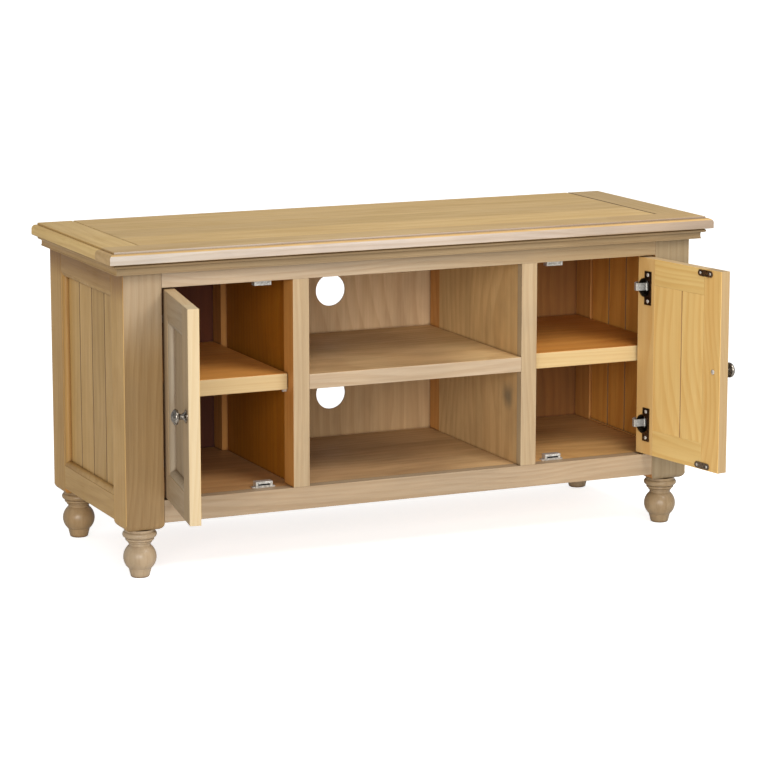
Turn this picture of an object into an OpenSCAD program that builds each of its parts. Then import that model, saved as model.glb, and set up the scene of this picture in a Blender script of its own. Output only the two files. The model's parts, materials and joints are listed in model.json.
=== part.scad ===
// Media cabinet: two doors, four open compartments, turned feet and a framed top.
// X runs across the front, Y from front to back, Z up from the floor.

/* [Top] */
// Width across the top, over its moulded edges
top_w = 1220; // [1160:1:1280]
// How far the top stands out past the case at the front and sides
top_overhang = 34; // [30:1:40]
// How far the top stands out past the case at the back
top_back_overhang = 4; // [0:1:10]
// Width of the frame boards around the top's middle field
top_frame_w = 70; // [60:1:90]
// Thickness of the top boards
top_t = 22.5; // [20:0.5:24]
// Height of the crown moulding under the top
crown_h = 20.5; // [20:0.5:24]

/* [Case] */
// Depth of the case without the top's overhangs
case_d = 412; // [380:1:460]
// Height of the whole cabinet
total_h = 605; // [590:1:640]
// Height of a turned foot
foot_h = 90; // [88:1:96]
// Width of a corner post seen from the front
post_w = 74; // [70:1:80]
// Depth of a corner post seen from the side
post_d = 66; // [62:1:76]
// Thickness of the side frames
side_t = 29; // [27:1:32]
// Thickness of the front frame
front_t = 24; // [24:1:28]
// Clear width of the middle bay
middle_bay_w = 434; // [400:1:460]
// Width of the stiles between the bays
stile_w = 32; // [30:1:36]
// Depth of those stiles
stile_d = 45; // [42:1:50]

/* [Doors] */
// Thickness of a door
door_t = 21; // [20:1:23]
// Width of the door's stiles and rails
door_frame_w = 50; // [46:1:56]
// Gap between a door and its opening
door_gap = 3; // [3:0.5:4]
// How far the left door stands open
left_open = 100; // [90:0.5:103]
// How far the right door stands open
right_open = 99.5; // [90:0.5:103]

/* [Shelves] */
// Thickness of the middle shelf
middle_shelf_t = 28; // [24:1:32]
// Thickness of the side shelves
side_shelf_t = 30; // [24:1:32]
// Height of the top faces of all the shelves
shelf_top_z = 355; // [310:1:390]
// Radius of the cable holes in the back
cable_hole_r = 31.5; // [25:0.5:35]

/* [Hidden] */
$fn = 64;

// Heights, from the floor up
post_foot_h = 13;
rail_low_z = foot_h + post_foot_h;
front_rail_h = 42;
bay_floor_z = rail_low_z + front_rail_h;
top_low_z = total_h - top_t;
crown_low_z = top_low_z - crown_h;
front_rail_show = 29;
bay_top_z = crown_low_z - front_rail_show;
deck_t = 19;

// Across
case_w = top_w - 2 * top_overhang;
half_case = case_w / 2;
side_inner_x = half_case - side_t;
post_inner_x = half_case - post_w;
stile_inner_x = middle_bay_w / 2;
stile_outer_x = stile_inner_x + stile_w;
partition_t = 20;
stile_face_t = 18;
top_step_w = 12;
frame_joint_x = half_case + top_overhang - top_step_w - top_frame_w;

// Front to back, from the case's front face
back_panel_t = 5;
back_face_y = case_d - back_panel_t;
back_stile_d = 43;
back_rail_t = 24;
back_rail_h = 60;
side_rail_low_h = 45;
side_rail_high_h = 42;
side_rail_low_top_z = rail_low_z + side_rail_low_h;
side_rail_high_z = crown_low_z - side_rail_high_h;
back_rail_z = top_low_z - back_rail_h;
top_joint_y = top_frame_w - top_overhang + top_step_w;
post_round_r = post_foot_h;

// Doors
door_w = post_inner_x - stile_outer_x - 2 * door_gap;
door_h = bay_top_z - bay_floor_z - 2 * door_gap;
door_z = bay_floor_z + door_gap;
hinge_in = 58;
hinge_heights = [hinge_in, door_h - hinge_in];
pin_in = 10;
pin_back = 8;
pin_x = post_inner_x - door_gap - pin_in;
door_edge_r = 2;
door_recess = 12;
plank_lip = 0.4;

// Depth from the front face to the far corner of an open door, and the shift that
// puts the model's origin under the middle of the whole object
function door_reach(angle) = (door_w - pin_in) * sin(angle) - (door_t - pin_back) * cos(angle) - pin_back;
front_reach = max(door_reach(left_open), door_reach(right_open));
case_y = (front_reach - case_d - top_back_overhang) / 2;

// Colours
stain = "#b3956a";
stain_dark = "#a3845a";
pine = "#dcb877";
bronze = "#4a4038";
steel = "#b9bbbd";
pewter = "#6d6a66";

// ---------- shared helpers ----------

module in_case() {
  translate([0, case_y, 0]) children();
}

module on_side(side) {
  mirror([side < 0 ? 1 : 0, 0, 0]) children();
}

// A box from two opposite corners
module span(low, high) {
  translate(low) cube(high - low);
}

// A prism along X of an outline drawn in (Y, Z)
module along_x(from, to) {
  translate([from, 0, 0]) rotate([90, 0, 90]) linear_extrude(to - from) children();
}

// A prism along Y of an outline drawn in (X, Z)
module along_y(from, to) {
  translate([0, to, 0]) rotate([90, 0, 0]) linear_extrude(to - from) children();
}

// Four mitred strips around a W by H opening, standing up along +Z.
// The child is the strip's section: X is the way in, Y is the height.
module mitred_ring(w, h, strip_w, strip_h) {
  hairline = 0.12;
  sides = [[0, 0, 0, w], [w, 0, 90, h], [w, h, 180, w], [0, h, 270, h]];
  for (s = sides) translate([s[0], s[1], 0]) rotate(s[2]) intersection() {
    rotate([90, 0, 90]) linear_extrude(s[3]) children();
    linear_extrude(strip_h) polygon([
      [hairline, 0], [s[3] - hairline, 0],
      [s[3] - strip_w - hairline, strip_w], [strip_w + hairline, strip_w]
    ]);
  }
}

// A sunk V-groove's cutter, running along Z at (x, 0), cutting toward +Y
module groove_cutter(x, height, size = 2.4) {
  translate([x, 0, 0]) rotate(45) translate([-size / 2, -size / 2, 0]) cube([size, size, height]);
}

// ---------- the top ----------

// Edge section of the top boards: X is how far it stands out past the case, Y the height
module top_edge_outline(reach) {
  step_h = 3.5;
  ovolo_r = 8;
  low_r = 2;
  widest = top_overhang;
  translate([-reach, 0]) square([reach + widest - top_step_w, top_t]);
  translate([-reach, low_r]) square([reach + widest, top_t - step_h - ovolo_r - low_r]);
  translate([-reach, 0]) square([reach + widest - low_r, top_t - step_h - ovolo_r]);
  translate([-reach, 0]) square([reach + widest - ovolo_r, top_t - step_h]);
  translate([widest - low_r, low_r]) circle(low_r);
  translate([widest - ovolo_r, top_t - step_h - ovolo_r]) circle(ovolo_r);
}

// The whole top before it is cut into boards
module top_slab() {
  deep = case_d + top_back_overhang;
  translate([0, 0, top_low_z]) intersection() {
    along_y(-2 * top_overhang, deep) {
      translate([half_case, 0]) top_edge_outline(half_case);
      mirror([1, 0]) translate([half_case, 0]) top_edge_outline(half_case);
    }
    along_x(-top_w, top_w) mirror([1, 0]) top_edge_outline(deep);
  }
}

module top_joint_groove(side) {
  groove_r = 1.7;
  deep = case_d + top_back_overhang;
  translate([side * frame_joint_x, top_joint_y, total_h]) rotate([-90, 0, 0]) rotate(45)
    translate([-groove_r, -groove_r, 0]) cube([2 * groove_r, 2 * groove_r, deep]);
}

module top_field() {
  deep = case_d + top_back_overhang;
  color(stain) in_case() difference() {
    intersection() {
      top_slab();
      span([-frame_joint_x, top_joint_y, top_low_z], [frame_joint_x, deep, total_h]);
    }
    for (side = [-1, 1]) top_joint_groove(side);
  }
}

module top_front_rail() {
  color(stain) in_case() intersection() {
    top_slab();
    span([-top_w, -top_w, top_low_z], [top_w, top_joint_y, total_h]);
  }
}

module top_end(side) {
  color(stain) in_case() on_side(side) difference() {
    intersection() {
      top_slab();
      span([frame_joint_x, top_joint_y, top_low_z], [top_w, top_w, total_h]);
    }
    top_joint_groove(1);
  }
}

// Crown section: X is how far it stands out past the case, Y the height above its foot.
// A hollow face under a bead, with a sunk strip that shades the joint with the top.
module crown_outline() {
  foot_w = 17;
  foot_t = 1.5;
  face_w = 15.5;
  hollow_r = 24;
  bead_r = 3;
  bead_out = 23.5;
  sunk_h = 2;
  bead_z = crown_h - sunk_h - bead_r;
  face_top = bead_z - bead_r;
  square([foot_w, foot_t]);
  difference() {
    square([foot_w, face_top]);
    translate([face_w + hollow_r, (foot_t + face_top) / 2]) circle(hollow_r);
  }
  translate([0, face_top]) square([bead_out - bead_r, crown_h - face_top]);
  translate([bead_out - bead_r, bead_z]) circle(bead_r);
}

module crown_front() {
  reach = top_overhang;
  color(stain) in_case() translate([0, 0, crown_low_z]) intersection() {
    along_x(-top_w, top_w) mirror([1, 0]) crown_outline();
    linear_extrude(crown_h) polygon([
      [-half_case, 0], [half_case, 0], [half_case + reach, -reach], [-half_case - reach, -reach]
    ]);
  }
}

module crown_side(side) {
  reach = top_overhang;
  color(stain) in_case() on_side(side) translate([0, 0, crown_low_z]) intersection() {
    along_y(-top_w, case_d) translate([half_case, 0]) crown_outline();
    linear_extrude(crown_h) polygon([
      [half_case, 0], [half_case + reach, -reach], [half_case + reach, case_d], [half_case, case_d]
    ]);
  }
}

// ---------- the case ----------

// Outer shape of a corner: a square column whose lower edges are rounded over
module corner_body(y0) {
  r = post_round_r;
  intersection() {
    along_y(y0, y0 + post_d) union() {
      translate([post_inner_x, foot_h + r]) square([post_w, top_low_z - foot_h - r]);
      translate([post_inner_x + r, foot_h]) square([post_w - 2 * r, r]);
      translate([post_inner_x + r, foot_h + r]) circle(r);
      translate([half_case - r, foot_h + r]) circle(r);
    }
    along_x(post_inner_x, half_case) union() {
      translate([y0, foot_h + r]) square([post_d, top_low_z - foot_h - r]);
      translate([y0 + r, foot_h]) square([post_d - 2 * r, r]);
      translate([y0 + r, foot_h + r]) circle(r);
      translate([y0 + post_d - r, foot_h + r]) circle(r);
    }
  }
}

pin_r = 2.5;
pin_clear = 0.05;
pin_depth = 8;
front_pin_y = 36;
back_pin_in = 27;
back_pin_y = case_d - back_pin_in;
pin_drop = 3.6;
pin_z = shelf_top_z - side_shelf_t - pin_drop;
bolt_r = 4;
bolt_clear = 0.1;
bolt_in = 24;
foot_x = half_case - post_w / 2;
front_foot_y = post_d / 2;
back_foot_y = case_d - post_d / 2;
pilot_r = 1.85;
screw_r = 1.8;
arm_screw_x = [post_inner_x + 9, post_inner_x + 17];
arm_screw_z = [-11, 11];
arm_plate_t = 2.5;
screw_in = 12;

module foot_bolt_hole(y) {
  translate([foot_x, y, foot_h - 1]) cylinder(r = bolt_r + bolt_clear, h = bolt_in + 2);
}

// Front corner post: a front leg and a side leg in an L, over a solid foot block
module front_post(side) {
  color(stain) in_case() on_side(side) difference() {
    corner_body(0);
    span([post_inner_x - 1, front_t, bay_floor_z - deck_t], [side_inner_x, post_d + 1, total_h]);
    foot_bolt_hole(front_foot_y);
    translate([side_inner_x, front_pin_y, pin_z]) rotate([0, 90, 0])
      cylinder(r = pin_r + pin_clear, h = 2 * pin_depth + 1, center = true);
    for (z = hinge_heights, i = [0, 1]) {
      translate([arm_screw_x[i], front_t, door_z + z + arm_screw_z[i]]) rotate([90, 0, 0])
        cylinder(r = pilot_r, h = 2 * screw_in + 1, center = true);
    }
  }
}

module back_post(side) {
  color(stain) in_case() on_side(side) difference() {
    corner_body(case_d - post_d);
    span([post_inner_x - 1, case_d - post_d - 1, bay_floor_z - deck_t], [side_inner_x, case_d + 1, total_h]);
    foot_bolt_hole(back_foot_y);
    translate([side_inner_x, back_pin_y, pin_z]) rotate([0, 90, 0])
      cylinder(r = pin_r + pin_clear, h = 2 * pin_depth + 1, center = true);
  }
}

module front_top_rail() {
  color(stain) in_case() span([-post_inner_x, 0, bay_top_z], [post_inner_x, front_t, top_low_z]);
}

module front_bottom_rail() {
  color(stain) in_case() span([-post_inner_x, 0, rail_low_z], [post_inner_x, front_t, bay_floor_z]);
}

// Each stile is rebated behind its face for the edge of the partition
module mid_stile(side) {
  color(stain) in_case() on_side(side) difference() {
    span([stile_inner_x, 0, bay_floor_z], [stile_outer_x, stile_d, bay_top_z]);
    span([stile_inner_x - 1, stile_face_t, bay_floor_z - 1],
         [stile_inner_x + partition_t, stile_d + 1, bay_top_z + 1]);
    translate([stile_outer_x, front_pin_y, pin_z]) rotate([0, 90, 0])
      cylinder(r = pin_r + pin_clear, h = 2 * pin_depth + 1, center = true);
  }
}

module partition(side) {
  color(stain_dark) in_case() on_side(side) difference() {
    span([stile_inner_x, stile_face_t, bay_floor_z],
         [stile_inner_x + partition_t, back_face_y - back_stile_d, top_low_z]);
    span([stile_inner_x - 1, 0, bay_top_z], [stile_outer_x, front_t, top_low_z + 1]);
  }
}

module partition_back_stiles() {
  for (side = [-1, 1]) color(stain_dark) in_case() on_side(side) difference() {
    span([stile_inner_x, back_face_y - back_stile_d, bay_floor_z], [stile_outer_x, back_face_y, back_rail_z]);
    translate([stile_outer_x, back_pin_y, pin_z]) rotate([0, 90, 0])
      cylinder(r = pin_r + pin_clear, h = 2 * pin_depth + 1, center = true);
  }
}

module side_rails(side) {
  color(stain) in_case() on_side(side) {
    span([side_inner_x, post_d, rail_low_z], [half_case, case_d - post_d, side_rail_low_top_z]);
    span([side_inner_x, post_d, side_rail_high_z], [half_case, case_d - post_d, top_low_z]);
  }
}

plank_t = 12;
plank_count = 4;
side_recess = 12;

module side_planks(side) {
  outer = half_case - side_recess;
  wide = case_d - 2 * post_d;
  tall = side_rail_high_z - side_rail_low_top_z;
  color(stain) in_case() on_side(side) difference() {
    span([outer - plank_t, post_d, side_rail_low_top_z], [outer, post_d + wide, side_rail_high_z]);
    for (i = [1 : plank_count - 1], face = [outer, outer - plank_t])
      translate([face, post_d + i * wide / plank_count, side_rail_low_top_z - 1]) groove_cutter(0, tall + 2);
  }
}

// Section of the moulding inside a side frame
module side_moulding_outline(w, h) {
  lip = 2.5;
  ridge = 1.5;
  r = w - ridge;
  square([w, lip]);
  square([ridge, h]);
  intersection() {
    translate([ridge, h - r]) circle(r);
    square([w, h]);
  }
  square([w, h - r]);
}

module side_moulding(side) {
  w = 9;
  h = side_recess - 1;
  color(stain) in_case() on_side(side)
    translate([half_case - side_recess, post_d, side_rail_low_top_z]) rotate([90, 0, 90])
      mitred_ring(case_d - 2 * post_d, side_rail_high_z - side_rail_low_top_z, w, h)
        side_moulding_outline(w, h);
}

module bottom_deck() {
  color(stain_dark) in_case()
    span([-side_inner_x, front_t, bay_floor_z - deck_t], [side_inner_x, back_face_y, bay_floor_z]);
}

module middle_shelf() {
  color(stain) in_case()
    span([-stile_inner_x, 0, shelf_top_z - middle_shelf_t], [stile_inner_x, back_face_y, shelf_top_z]);
}

module side_shelf(side) {
  play = 1;
  end_play = 4;
  color(pine) in_case() on_side(side)
    span([stile_outer_x + play, door_t + end_play, shelf_top_z - side_shelf_t],
         [side_inner_x - play, back_face_y - end_play, shelf_top_z]);
}

// Eight pegs, each with a small seat that the shelf rests on
module shelf_pins() {
  seat_t = 1.5;
  seat_w = 8;
  for (side = [-1, 1], y = [front_pin_y, back_pin_y], wall = [[stile_outer_x, 1], [side_inner_x, -1]])
    color(steel) in_case() on_side(side) translate([wall[0], y, 0]) {
      translate([0, 0, pin_z]) rotate([0, 90, 0]) cylinder(r = pin_r, h = 2 * pin_depth - 1, center = true);
      translate([wall[1] > 0 ? 0 : -seat_w, -seat_w / 2, shelf_top_z - side_shelf_t - seat_t])
        cube([seat_w, seat_w, seat_t]);
    }
}

module back_panel() {
  low_drop = 4;
  high_drop = 5;
  low_z = (bay_floor_z + shelf_top_z - middle_shelf_t) / 2 - low_drop;
  high_z = (shelf_top_z + bay_top_z) / 2 - high_drop;
  color(stain_dark) in_case() difference() {
    span([-side_inner_x, back_face_y, bay_floor_z - deck_t], [side_inner_x, case_d, top_low_z]);
    for (z = [low_z, high_z]) translate([0, case_d, z]) rotate([90, 0, 0])
      cylinder(r = cable_hole_r, h = 4 * back_panel_t, center = true);
  }
}

module back_rails() {
  color(stain_dark) in_case() {
    span([-side_inner_x, back_face_y - back_rail_t, back_rail_z], [side_inner_x, back_face_y, top_low_z]);
    span([-post_inner_x, case_d - back_rail_t, rail_low_z], [post_inner_x, case_d, bay_floor_z - deck_t]);
  }
}

// ---------- the feet ----------

// Half section of a turned foot: X is the radius, Y the height
module foot_outline() {
  top_disc_r = 28;
  ring_r = 6;
  ring_edge = 31.5;
  ring_drop = 10;
  ring_z = foot_h - ring_drop;
  bead_r = 3.5;
  bead_edge = 26.5;
  bead_z = ring_z - ring_r - bead_r + 1;
  collar_r = 2.2;
  collar_edge = 22.6;
  collar_z = bead_z - bead_r - collar_r + 0.5;
  neck_r = 20;
  bulb_r = 28;
  bulb_edge = 30.4;
  bulb_z = 37.5;
  bulb_low_z = 16.5;
  bulb_low_r = 20.9;
  toe_r = 17.5;
  toe_round = 3.5;
  translate([0, ring_z]) square([top_disc_r, foot_h - ring_z]);
  translate([0, ring_z - ring_r]) square([ring_edge - ring_r, 2 * ring_r]);
  translate([ring_edge - ring_r, ring_z]) circle(ring_r);
  translate([0, bead_z - bead_r]) square([bead_edge - bead_r, 2 * bead_r]);
  translate([bead_edge - bead_r, bead_z]) circle(bead_r);
  translate([0, collar_z - collar_r]) square([collar_edge - collar_r, 2 * collar_r]);
  translate([collar_edge - collar_r, collar_z]) circle(collar_r);
  translate([0, bulb_z]) square([neck_r, collar_z - bulb_z]);
  intersection() {
    translate([bulb_edge - bulb_r, bulb_z]) circle(bulb_r);
    translate([0, bulb_low_z]) square([bulb_edge, collar_z - bulb_low_z]);
  }
  polygon([
    [0, toe_round], [toe_r, toe_round], [bulb_low_r, bulb_low_z], [0, bulb_low_z]
  ]);
  square([toe_r - toe_round, toe_round]);
  translate([toe_r - toe_round, toe_round]) circle(toe_round);
}

module foot(side, y) {
  color(stain) in_case() translate([side * foot_x, y, 0]) difference() {
    rotate_extrude() intersection() {
      foot_outline();
      square([foot_h, foot_h]);
    }
    translate([0, 0, foot_h - bolt_in]) cylinder(r = bolt_r + bolt_clear, h = bolt_in + 1);
  }
}

module foot_bolts() {
  for (side = [-1, 1], y = [front_foot_y, back_foot_y])
    color(steel) in_case() translate([side * foot_x, y, foot_h - bolt_in + 1])
      cylinder(r = bolt_r, h = 2 * bolt_in - 2);
}

// ---------- catches ----------

strike_in = 46;
catch_x = post_inner_x - door_gap - door_w + strike_in;
catch_w = 33;
catch_d = 14;
catch_h = 11.5;
ear_w = 45;
ear_t = 2;

magnet_w = 24;
magnet_h = 7.5;
magnet_z = 2;
pole_t = 1.8;
pole_out = 0.5;

// Lower catches stand on the deck; the upper ones hang down behind the top rail.
// Each is drawn pointing up from the edge of its opening.
module catch_places() {
  for (side = [-1, 1]) in_case() on_side(side) {
    translate([catch_x, front_t, bay_floor_z]) children();
    translate([catch_x, front_t, bay_top_z]) mirror([0, 0, 1]) children();
  }
}

// A housing with a slot for its magnet, which lies between two steel pole plates
module catch_housing(hanging) {
  play = 0.2;
  plate_w = magnet_w - 2 * play;
  difference() {
    union() {
      translate([-catch_w / 2, 0, 0]) cube([catch_w, catch_d, catch_h]);
      translate([-ear_w / 2, 2, 0]) cube([ear_w, catch_d - 4, ear_t]);
      if (hanging) translate([-catch_w / 2, 0, -catch_h]) cube([catch_w, ear_t, catch_h + 1]);
    }
    translate([-magnet_w / 2, -1, magnet_z]) cube([magnet_w, catch_d - 2, magnet_h]);
  }
  for (z = [magnet_z + play, magnet_z + magnet_h - play - pole_t])
    translate([-plate_w / 2, -pole_out, z]) cube([plate_w, catch_d - 3, pole_t]);
}

module catch_housings() {
  color(steel) for (side = [-1, 1]) in_case() on_side(side) {
    translate([catch_x, front_t, bay_floor_z]) catch_housing(false);
    translate([catch_x, front_t, bay_top_z]) mirror([0, 0, 1]) catch_housing(true);
  }
}

module catch_magnets() {
  play = 0.3;
  set_back = 1;
  low = pole_t + play;
  color(pewter) catch_places() translate([play - magnet_w / 2, set_back, magnet_z + low])
    cube([magnet_w - 2 * play, catch_d - 5, magnet_h - 2 * low]);
}

// ---------- doors ----------

// Puts a part that is drawn on the closed right door onto either open door.
// Drawn: X from the hinge edge to the free edge, Y from the front face to the inner face,
// Z up from the door's lower edge.
module on_door(side) {
  angle = side < 0 ? left_open : right_open;
  in_case() on_side(side) translate([pin_x, pin_back, door_z]) rotate(angle)
    mirror([1, 0, 0]) translate([-pin_in, -pin_back, 0]) children();
}

// The door's outer shape, with the front arris rounded on all four edges
module door_body() {
  r = door_edge_r;
  intersection() {
    linear_extrude(door_h) union() {
      translate([0, r]) square([door_w, door_t - r]);
      translate([r, 0]) square([door_w - 2 * r, r]);
      translate([r, r]) circle(r);
      translate([door_w - r, r]) circle(r);
    }
    along_x(0, door_w) union() {
      translate([r, 0]) square([door_t - r, door_h]);
      translate([0, r]) square([r, door_h - 2 * r]);
      translate([r, r]) circle(r);
      translate([r, door_h - r]) circle(r);
    }
  }
}

cup_x = 20;
cup_r = 17.5;
cup_wall = 0.8;
cup_depth = 17.5;
knob_in = 20;
knob_x = door_w - knob_in;
knob_z = door_h / 2;
knob_hole_r = 2.2;
knob_screw_r = 2.1;
knob_screw_in = 10;
clear_r = 0.1;
wing_screw_z = [-25.5, 25.5];
wing_x = 30.5;
wing_w = 20;
wing_h = 65;
strike_x = door_w - strike_in;
strike_up = 8;
strike_z = [strike_up, door_h - strike_up];
strike_screw_x = [-14, 14];
strike_screw_in = 9;
strike_screw_r = 1.4;
strike_pilot_r = 1.45;
strike_hole_r = 1.5;
strike_t = 1.5;
head_r = 3.6;
head_t = 1.6;
door_groove = 1.8;

module door_hinge_stile(side) {
  color(pine) on_door(side) difference() {
    intersection() {
      door_body();
      cube([door_frame_w, door_t, door_h]);
    }
    for (z = hinge_heights) {
      translate([cup_x, door_t - cup_depth, z]) rotate([-90, 0, 0]) cylinder(r = cup_r + clear_r, h = door_t);
      for (dz = wing_screw_z) translate([wing_x, door_t - screw_in, z + dz]) rotate([-90, 0, 0])
        cylinder(r = pilot_r, h = door_t);
    }
  }
}

module door_free_stile(side) {
  color(pine) on_door(side) difference() {
    intersection() {
      door_body();
      translate([door_w - door_frame_w, 0, 0]) cube([door_frame_w, door_t, door_h]);
    }
    translate([knob_x, -1, knob_z]) rotate([-90, 0, 0])
      cylinder(r = knob_hole_r, h = door_t + 2);
    strike_pilots(true);
  }
}

// Pilot holes for the strike screws, which fall on the free stile and on the rails
module strike_pilots(on_stile) {
  for (z = strike_z, dx = strike_screw_x)
    if ((strike_x + dx > door_w - door_frame_w) == on_stile)
      translate([strike_x + dx, door_t - strike_screw_in, z]) rotate([-90, 0, 0])
        cylinder(r = strike_pilot_r, h = door_t);
}

module door_rails(side) {
  color(pine) on_door(side) difference() {
    intersection() {
      door_body();
      for (z = [0, door_h - door_frame_w])
        translate([door_frame_w, 0, z]) cube([door_w - 2 * door_frame_w, door_t, door_frame_w]);
    }
    strike_pilots(false);
  }
}

module door_planks(side) {
  wide = door_w - 2 * door_frame_w;
  tall = door_h - 2 * door_frame_w;
  wide_share = 0.56;
  groove_x = door_frame_w + wide_share * wide;
  color(pine) on_door(side) difference() {
    translate([door_frame_w, door_recess, door_frame_w])
      cube([wide, door_t - door_recess - plank_lip, tall]);
    for (y = [door_recess, door_t - plank_lip])
      translate([groove_x, y, door_frame_w - 1]) groove_cutter(0, tall + 2, door_groove);
  }
}

module door_moulding(side) {
  w = 11;
  h = door_recess - 1;
  color(stain) on_door(side) translate([door_frame_w, door_recess, door_frame_w]) rotate([90, 0, 0])
    mitred_ring(door_w - 2 * door_frame_w, door_h - 2 * door_frame_w, w, h) door_moulding_outline(w, h);
}

// Section of the moulding inside a door frame
module door_moulding_outline(w, h) {
  r = h - 2;
  square([w, 2]);
  square([w - r - 1, h]);
  translate([w - r - 1, h - r]) intersection() {
    circle(r);
    square(r);
  }
}

// Half section of a knob: X is the radius, Y the distance out from the door
module knob_outline() {
  base_r = 12;
  base_t = 1.5;
  flare_r = 9;
  waist_r = 5;
  waist_out = 10;
  head_r = 14.5;
  head_low = 15.5;
  head_cone = 4;
  rim_r = 3.4;
  rim_step = 1.4;
  dome_r = 18;
  knob_out = 27;
  square([base_r, base_t]);
  difference() {
    square([base_r - 1, waist_out]);
    translate([waist_r + flare_r, waist_out]) circle(flare_r);
  }
  square([waist_r, head_low]);
  cone_low = head_low - head_cone;
  polygon([[0, cone_low], [waist_r, cone_low], [head_r - rim_r, head_low], [0, head_low]]);
  translate([0, head_low]) square([head_r - rim_r, 2 * rim_r]);
  translate([head_r - rim_r, head_low + rim_r]) circle(rim_r);
  intersection() {
    translate([0, knob_out - dome_r]) circle(dome_r);
    translate([0, head_low]) square([head_r - rim_step, knob_out - head_low]);
  }
}

module door_knob(side) {
  color(pewter) on_door(side) translate([knob_x, 0, knob_z]) rotate([90, 0, 0]) difference() {
    rotate_extrude() intersection() {
      knob_outline();
      square([20, 40]);
    }
    translate([0, 0, -1]) cylinder(r = knob_hole_r, h = knob_screw_in + 3);
  }
}

hinge_pin_r = 1.5;
hinge_pin_half = 10.5;
ear_inner = 8;
flange_t = 1.2;

// Cup, its two ears for the hinge pin, and the screwed wing plate
module hinge_cup() {
  inner_r = cup_r - cup_wall;
  rim_w = 0.8;
  pin_ear_w = 4.8;
  pin_ear_d = 7.2;
  pin_ear_t = 2;
  root = 0.1;
  difference() {
    union() {
      translate([cup_x, door_t - cup_depth, 0]) rotate([-90, 0, 0]) cylinder(r = cup_r, h = cup_depth);
      intersection() {
        translate([cup_x, door_t, 0]) rotate([-90, 0, 0]) cylinder(r = cup_r + rim_w, h = flange_t);
        translate([0, door_t, -cup_x]) cube([wing_x + wing_w / 2, flange_t, 2 * cup_x]);
      }
      translate([wing_x - wing_w / 2, door_t, -wing_h / 2]) cube([wing_w, flange_t, wing_h]);
    }
    translate([cup_x, door_t - cup_depth + cup_wall, 0]) rotate([-90, 0, 0])
      cylinder(r = inner_r, h = cup_depth + flange_t);
    for (dz = wing_screw_z) translate([wing_x, door_t - 1, dz]) rotate([-90, 0, 0])
      cylinder(r = pilot_r + clear_r, h = 3 * flange_t);
  }
  for (end = [-1, 1]) difference() {
    translate([pin_in - pin_ear_w / 2, door_t - cup_depth + cup_wall - root,
               end > 0 ? ear_inner : -ear_inner - pin_ear_t])
      cube([pin_ear_w, pin_ear_d, pin_ear_t]);
    translate([pin_in, pin_back, 0]) cylinder(r = hinge_pin_r + pin_clear, h = 40, center = true);
  }
}

module door_hinge_cups(side) {
  color(bronze) on_door(side) for (z = hinge_heights) translate([0, 0, z]) hinge_cup();
}

module door_strikes(side) {
  half = 15;
  r = 6;
  color(steel) on_door(side) for (z = strike_z) translate([strike_x, door_t, z]) rotate([-90, 0, 0])
    difference() {
      union() {
        translate([-half, -r, 0]) cube([2 * half, 2 * r, strike_t]);
        for (dx = [-half, half]) translate([dx, 0, 0]) cylinder(r = r, h = strike_t);
      }
      for (dx = strike_screw_x) translate([dx, 0, -1]) cylinder(r = strike_hole_r, h = 2 * strike_t + 2);
    }
}

// A screw pointing toward -Y, its head's underside at the origin
module screw(r, length, head_r, head_t) {
  rotate([90, 0, 0]) cylinder(r = r, h = length);
  rotate([-90, 0, 0]) cylinder(r = head_r, h = head_t * 0.4);
  rotate([-90, 0, 0]) translate([0, 0, head_t * 0.4])
    cylinder(r1 = head_r, r2 = head_r * 0.55, h = head_t * 0.6);
}

module door_screws(side) {
  flat_r = 2.6;
  flat_t = 0.8;
  big_r = 4.6;
  big_t = 2;
  color(steel) on_door(side) {
    for (z = hinge_heights, dz = wing_screw_z)
      translate([wing_x, door_t + flange_t, z + dz]) screw(screw_r, screw_in, head_r, head_t);
    for (z = strike_z, dx = strike_screw_x)
      translate([strike_x + dx, door_t + strike_t, z]) screw(strike_screw_r, strike_screw_in, flat_r, flat_t);
    translate([knob_x, door_t, knob_z]) screw(knob_screw_r, door_t + knob_screw_in, big_r, big_t);
  }
}

// ---------- hinge arms on the case ----------

arm_inner_r = 21;
arm_outer_r = 24;
arm_h = 14;
arm_start = 182;
arm_end = 52;

// Arm seen from above, with the hinge pin at the origin: an eye, a link and a curl that
// clears the door's edge and meets the plate behind the post's front leg
module arm_outline() {
  eye_r = 3;
  link_t = 2;
  far = 2 * arm_outer_r;
  difference() {
    union() {
      circle(eye_r);
      rotate(arm_start) translate([0, -link_t / 2]) square([arm_inner_r + 1, link_t]);
      difference() {
        circle(arm_outer_r);
        circle(arm_inner_r);
        polygon([
          [0, 0], [far * cos(arm_end), far * sin(arm_end)], [far, 0], [0, -far],
          [-far, -far], [far * cos(arm_start), far * sin(arm_start)]
        ]);
      }
    }
    circle(hinge_pin_r + pin_clear);
  }
}

module hinge_arms(side) {
  plate_x = post_inner_x - pin_x;
  plate_y = front_t - pin_back;
  plate_w = 24;
  plate_h = 36;
  shim = 6;
  color(steel) in_case() on_side(side) for (z = hinge_heights)
    translate([pin_x, pin_back, door_z + z]) difference() {
      union() {
        translate([0, 0, -arm_h / 2]) linear_extrude(arm_h) arm_outline();
        translate([plate_x, plate_y, -plate_h / 2]) cube([plate_w, arm_plate_t, plate_h]);
      }
      translate([plate_x, plate_y - shim, -arm_h]) cube([plate_w, shim, 2 * arm_h]);
      for (i = [0, 1]) translate([arm_screw_x[i] - pin_x, plate_y, arm_screw_z[i]]) rotate([90, 0, 0])
        cylinder(r = pilot_r + clear_r, h = 8 * arm_plate_t, center = true);
    }
}

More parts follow.
